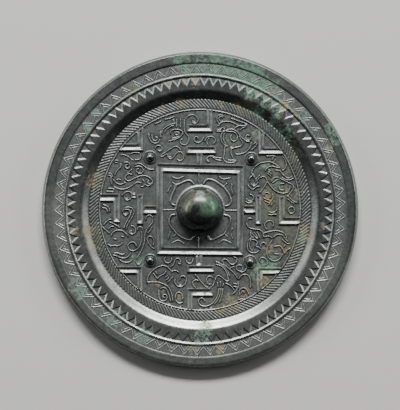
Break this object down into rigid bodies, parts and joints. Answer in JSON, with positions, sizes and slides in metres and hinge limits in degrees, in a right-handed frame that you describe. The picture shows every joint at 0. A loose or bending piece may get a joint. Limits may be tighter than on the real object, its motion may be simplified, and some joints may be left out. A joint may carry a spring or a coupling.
{
  "type": "ancient bronze mirror",
  "caption": "Round cast bronze mirror lying face down, its back with a pierced knob, a square frame, T, L and V marks, animals and a toothed rim.",
  "frame": {"origin": "centre of the flat polished face, which the part lies on", "axes": "+Z out of the decorated back, +Y towards the top of the pattern, +X to its right"},
  "size_m": [0.14, 0.14, 0.0125],
  "materials": {
    "bronze": "aged bronze, dark grey, with green and rust-brown patina"
  },
  "bodies": {
    "root": {"mirror": "bronze"}
  },
  "joints": []
}
